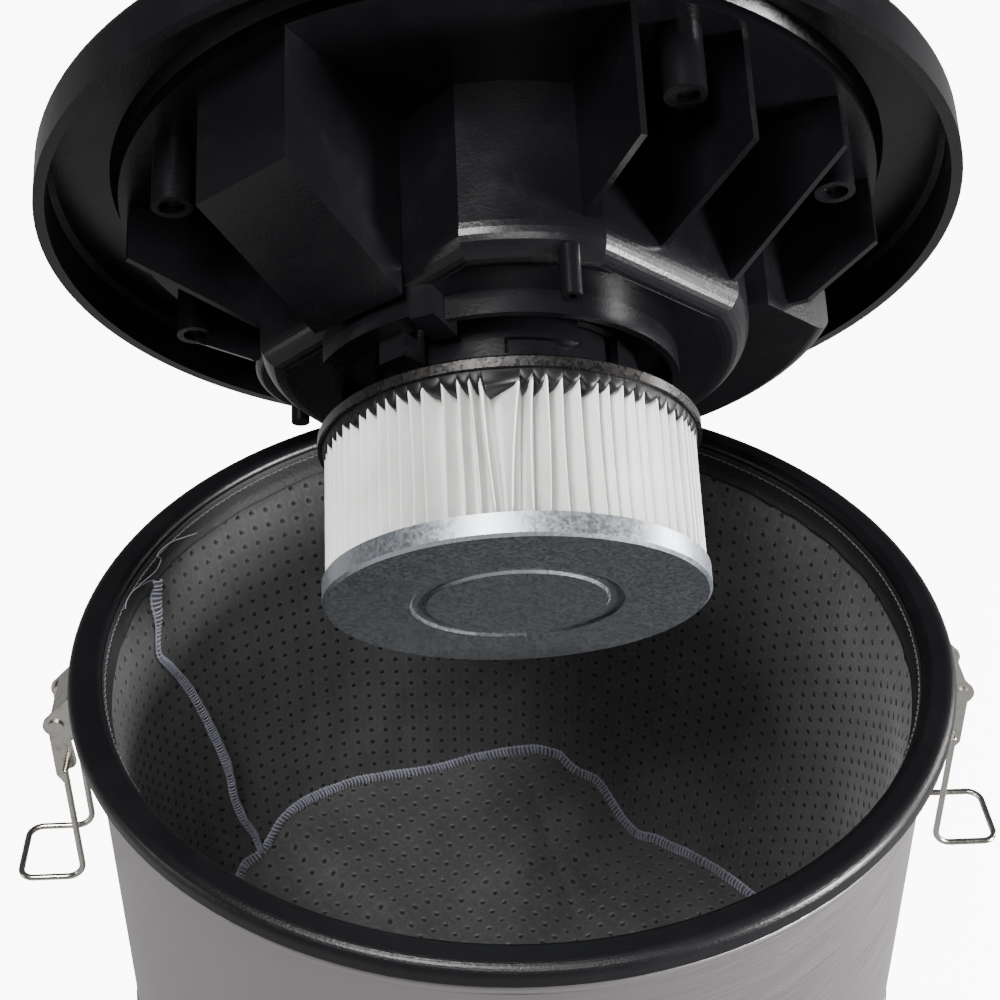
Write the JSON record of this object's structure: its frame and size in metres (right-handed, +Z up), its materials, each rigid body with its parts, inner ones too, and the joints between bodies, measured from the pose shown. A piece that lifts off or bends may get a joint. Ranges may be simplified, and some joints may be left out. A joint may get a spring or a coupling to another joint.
{
  "type": "shop vacuum",
  "caption": "Drum ash and workshop vacuum standing open: hinged motor head with a bayonet pleated filter, cloth bag in the steel drum, two toggle latches.",
  "frame": {"origin": "centre of the drum's base ring on the floor", "axes": "-Y to the front, where the hose goes in; +Z up; latches at -X and +X; head hinge at +Y"},
  "size_m": [0.3616, 0.3987, 0.5603],
  "materials": {
    "rubber": "matt moulded rubber",
    "drum_steel": "satin drawn steel sheet",
    "black_plastic": "satin black, fine grain",
    "grey_felt": "needle felt with small dimples",
    "plated_steel": "nickel plated, softly bright",
    "dark_screws": "black zinc",
    "motor_casting": "pressed and cast aluminium",
    "lamination_steel": "varnished laminations",
    "carbon_holders": "matt",
    "bright_steel": "ground steel",
    "copper": "bare copper",
    "zinc_sheet": "galvanised with a faint spangle",
    "potting_resin": "poured black resin, slightly glossy",
    "pleat_medium": "white pleated filter paper",
    "red_plastic": "gloss red"
  },
  "bodies": {
    "drum": {"base_ring": "rubber", "drum_wall": "drum_steel", "drum_floor": "drum_steel", "bag_ring": "black_plastic", "filter_bag": "grey_felt", "inlet_socket": "black_plastic", "inlet_gasket": "rubber", "inlet_lock_ring": "black_plastic", "latch_plate_left": "plated_steel", "latch_plate_right": "plated_steel", "latch_rivets": "plated_steel", "lever_pins": "plated_steel", "hinge_bracket": "plated_steel", "hinge_rivets": "plated_steel", "hinge_pin": "plated_steel"},
    "lid": {"lid_base": "black_plastic", "hinge_leaf": "plated_steel", "hinge_screws": "plated_steel", "inlet_guard": "black_plastic", "motor_cover": "black_plastic", "cover_screws": "dark_screws", "carry_handle": "black_plastic", "handle_screws": "dark_screws", "exhaust_grille": "black_plastic", "switch_bezel": "black_plastic", "cable_gland": "black_plastic", "gland_nut": "black_plastic", "motor_seat": "rubber", "fan_case": "motor_casting", "motor_frame": "motor_casting", "motor_stator": "lamination_steel", "motor_brushes": "carbon_holders", "motor_bearings": "bright_steel", "motor_top_mount": "rubber"},
    "rotor": {"motor_shaft": "bright_steel", "armature": "lamination_steel", "commutator": "copper", "suction_fan": "motor_casting"},
    "filter": {"filter_collar": "black_plastic", "filter_gasket": "rubber", "filter_top_ring": "zinc_sheet", "filter_potting": "potting_resin", "filter_pleats": "pleat_medium", "filter_core": "zinc_sheet", "filter_bottom_cap": "zinc_sheet"},
    "lever_left": {"lever_left": "plated_steel"},
    "lever_right": {"lever_right": "plated_steel"},
    "bail_left": {"bail_left": "plated_steel"},
    "bail_right": {"bail_right": "plated_steel"},
    "rocker": {"power_rocker": "red_plastic"}
  },
  "joints": [
    {"name": "lid_hinge", "type": "hinge", "parent": "drum", "child": "lid", "pos_m": [0, 0.154, 0.2776], "axis": [-1, 0, 0], "range_deg": [-56.85, 0]},
    {"name": "rotor_spin", "type": "hinge", "parent": "lid", "child": "rotor", "pos_m": [0, 0.07515, 0.41003], "axis": [0, 0.8372, 0.5468], "continuous": true},
    {"name": "filter_twist", "type": "hinge", "parent": "lid", "child": "filter", "pos_m": [0, 0.00817, 0.36629], "axis": [0, -0.8372, -0.5468], "range_deg": [0, 32]},
    {"name": "lever_left_swing", "type": "hinge", "parent": "drum", "child": "lever_left", "pos_m": [-0.1572, 0, 0.2715], "axis": [0, 1, 0], "range_deg": [0, 100]},
    {"name": "lever_right_swing", "type": "hinge", "parent": "drum", "child": "lever_right", "pos_m": [0.1572, 0, 0.2715], "axis": [0, -1, 0], "range_deg": [0, 100]},
    {"name": "bail_left_swing", "type": "hinge", "parent": "lever_left", "child": "bail_left", "pos_m": [-0.1562, 0, 0.253], "axis": [0, -1, 0], "range_deg": [-180, 0]},
    {"name": "bail_right_swing", "type": "hinge", "parent": "lever_right", "child": "bail_right", "pos_m": [0.1562, 0, 0.253], "axis": [0, 1, 0], "range_deg": [-180, 0]},
    {"name": "switch_rock", "type": "hinge", "parent": "lid", "child": "rocker", "pos_m": [0, 0.06533, 0.54576], "axis": [-1, 0, 0], "range_deg": [0, 18]}
  ]
}
